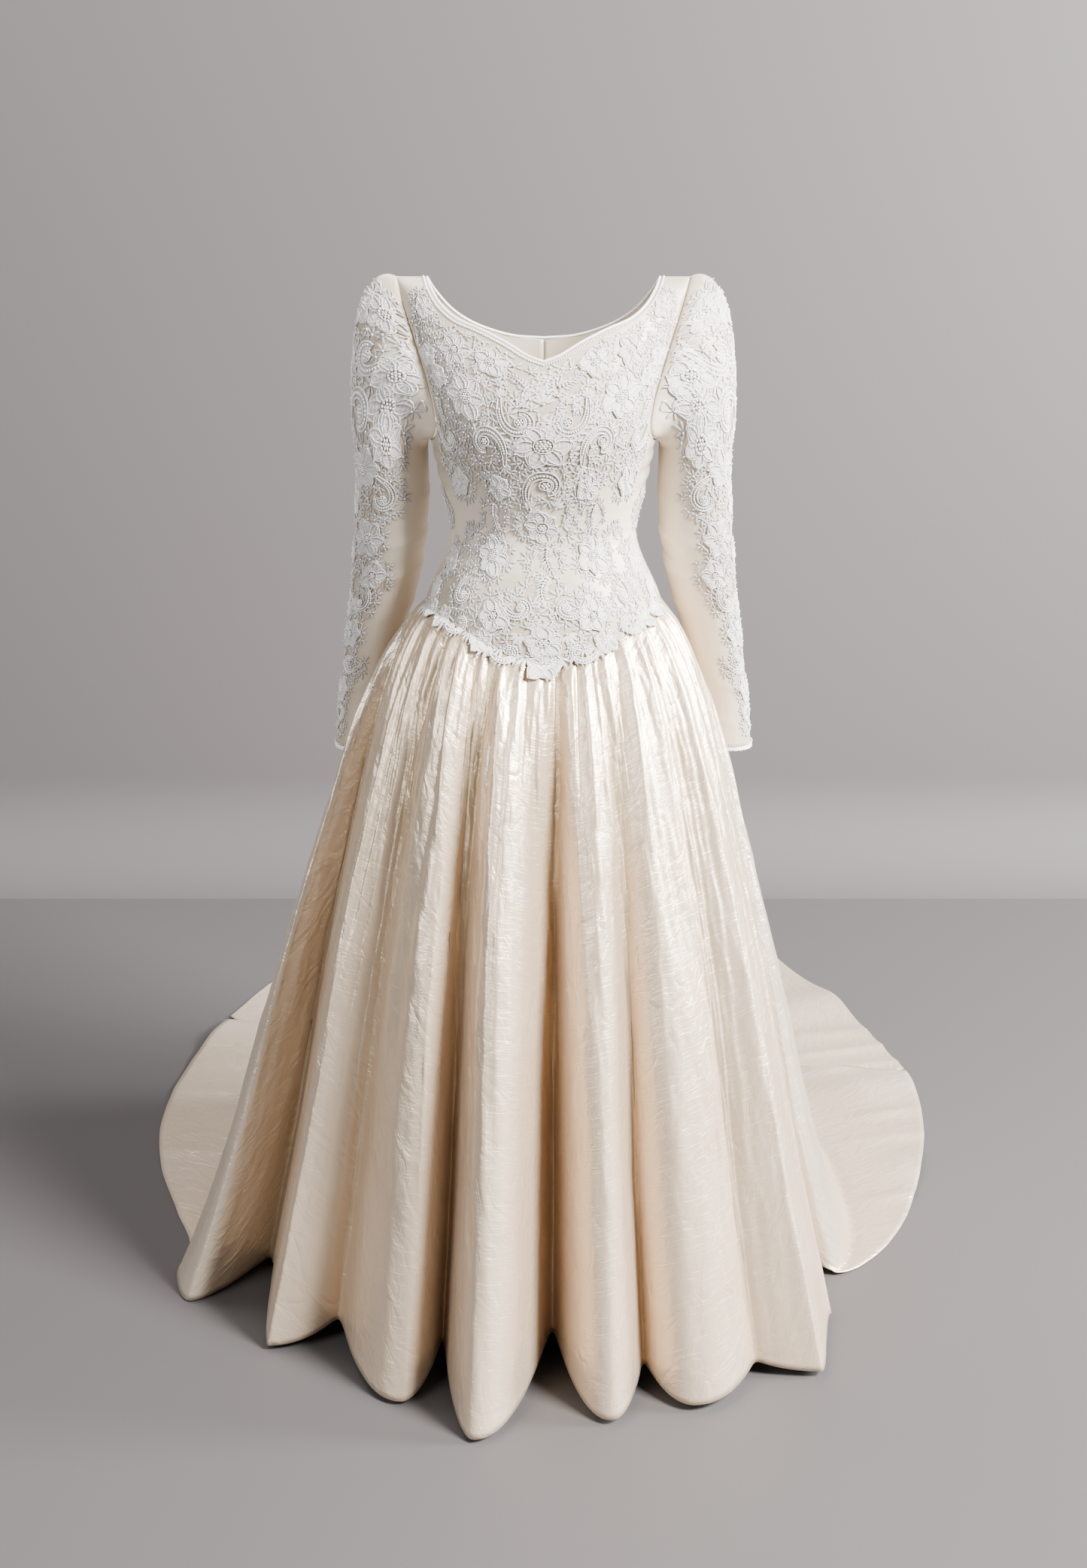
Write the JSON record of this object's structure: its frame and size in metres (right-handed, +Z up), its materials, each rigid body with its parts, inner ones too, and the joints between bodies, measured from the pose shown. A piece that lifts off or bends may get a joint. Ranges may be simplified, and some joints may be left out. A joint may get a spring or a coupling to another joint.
{
  "type": "wedding dress",
  "caption": "Long-sleeved satin wedding dress with a lace bodice, dropped pointed waist, gathered full skirt and a train, worn open and hollow.",
  "frame": {"origin": "on the centre line at the height of the shoulder seams, where the wearer's shoulders hold the dress up", "axes": "+Z up, the front faces -Y, +X towards the dress's side that is on the right when it is seen from the front"},
  "size_m": [1.304, 1.9572, 1.4153],
  "materials": {
    "front_lace_on_satin": "white corded lace with pearls on cream satin",
    "back_satin_right": "cream satin",
    "back_satin_left": "cream satin",
    "sleeve_lace_right": "white corded lace with pearls on cream satin",
    "sleeve_lace_left": "white corded lace with pearls on cream satin",
    "cuff_pearl_right": "narrow satin binding with pearls",
    "cuff_pearl_left": "narrow satin binding with pearls",
    "neck_pearl": "narrow satin binding with pearls",
    "edge_lace": "white corded lace",
    "skirt_satin": "ivory slubbed satin with a soft sheen",
    "button_satin": "covered in ivory satin"
  },
  "bodies": {
    "root": {"bodice_front": "front_lace_on_satin", "bodice_back_right": "back_satin_right", "bodice_back_left": "back_satin_left", "sleeve_right": "sleeve_lace_right", "sleeve_left": "sleeve_lace_left", "cuff_binding_right": "cuff_pearl_right", "cuff_binding_left": "cuff_pearl_left", "neck_binding": "neck_pearl", "lace_edge": "edge_lace", "skirt_front": "skirt_satin", "train_left": "skirt_satin", "train_right": "skirt_satin", "train_end": "skirt_satin", "button_1": "button_satin", "button_2": "button_satin", "button_3": "button_satin", "button_4": "button_satin", "button_5": "button_satin", "button_6": "button_satin", "button_7": "button_satin", "button_8": "button_satin", "button_9": "button_satin", "button_10": "button_satin", "button_11": "button_satin", "button_12": "button_satin"}
  },
  "joints": []
}
